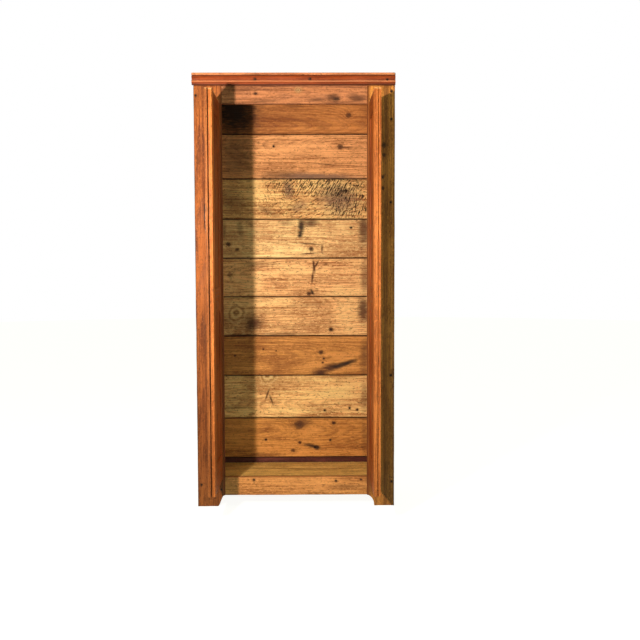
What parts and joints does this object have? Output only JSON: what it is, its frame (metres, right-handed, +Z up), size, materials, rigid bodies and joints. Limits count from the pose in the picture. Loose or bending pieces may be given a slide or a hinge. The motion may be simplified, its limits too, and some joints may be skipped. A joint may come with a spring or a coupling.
{
  "type": "tall two-door cupboard",
  "caption": "Tall reclaimed-pine cupboard with plank back, moulded cornice, cut-away feet and framed doors standing open on butt hinges.",
  "frame": {"origin": "middle of the footprint on the floor, with both doors open at a right angle", "axes": "+Z up, -Y towards the front of the cupboard, +X to the right as seen from the front"},
  "size_m": [0.9, 0.669, 1.955],
  "materials": {
    "front_pine": "waxed, worn",
    "cornice_pine": "waxed, worn",
    "side_pine": "waxed, worn",
    "pale_pine": "rough-sawn, scarred",
    "orange_pine": "rough-sawn, scarred",
    "dark_sill": "dark stained",
    "floor_pine": "waxed, worn",
    "door_pine": "waxed, worn",
    "hinge_iron": "dark, satin",
    "pull_iron": "dark, satin"
  },
  "bodies": {
    "carcass": {"left_stile": "front_pine", "right_stile": "front_pine", "bottom_rail": "front_pine", "top_rail": "front_pine", "top_board": "front_pine", "cornice_moulding": "cornice_pine", "left_side_front_board": "side_pine", "left_side_rear_board": "side_pine", "left_floor_batten": "side_pine", "left_middle_batten": "side_pine", "left_top_batten": "side_pine", "right_side_front_board": "side_pine", "right_side_rear_board": "side_pine", "right_floor_batten": "side_pine", "right_middle_batten": "side_pine", "right_top_batten": "side_pine", "back_board_1": "orange_pine", "back_board_2": "pale_pine", "back_board_3": "pale_pine", "back_board_4": "pale_pine", "back_board_5": "pale_pine", "back_board_6": "pale_pine", "back_board_7": "orange_pine", "back_board_8": "pale_pine", "back_board_9": "orange_pine", "rear_sill_board": "dark_sill", "floor_front_board": "floor_pine", "floor_rear_board": "floor_pine", "left_lower_hinge_frame_leaf": "hinge_iron", "left_middle_hinge_frame_leaf": "hinge_iron", "left_upper_hinge_frame_leaf": "hinge_iron", "right_lower_hinge_frame_leaf": "hinge_iron", "right_middle_hinge_frame_leaf": "hinge_iron", "right_upper_hinge_frame_leaf": "hinge_iron"},
    "left_door": {"left_door_hinge_stile": "door_pine", "left_door_meeting_stile": "door_pine", "left_door_bottom_rail": "door_pine", "left_door_lock_rail": "door_pine", "left_door_top_rail": "door_pine", "left_door_lower_panel": "door_pine", "left_door_upper_panel": "door_pine", "left_lower_hinge_door_leaf": "hinge_iron", "left_middle_hinge_door_leaf": "hinge_iron", "left_upper_hinge_door_leaf": "hinge_iron", "pull_plate": "pull_iron", "pull_grip": "pull_iron"},
    "right_door": {"right_door_hinge_stile": "door_pine", "right_door_meeting_stile": "door_pine", "right_door_bottom_rail": "door_pine", "right_door_lock_rail": "door_pine", "right_door_top_rail": "door_pine", "right_door_lower_panel": "door_pine", "right_door_upper_panel": "door_pine", "right_lower_hinge_door_leaf": "hinge_iron", "right_middle_hinge_door_leaf": "hinge_iron", "right_upper_hinge_door_leaf": "hinge_iron"}
  },
  "joints": [
    {"name": "left_door_hinge", "type": "hinge", "parent": "carcass", "child": "left_door", "pos_m": [-0.3378, 0.00725, 0.977], "axis": [0, 0, 1], "range_deg": [-10, 90]},
    {"name": "right_door_hinge", "type": "hinge", "parent": "carcass", "child": "right_door", "pos_m": [0.3378, 0.00725, 0.977], "axis": [0, 0, 1], "range_deg": [-90, 10]}
  ]
}
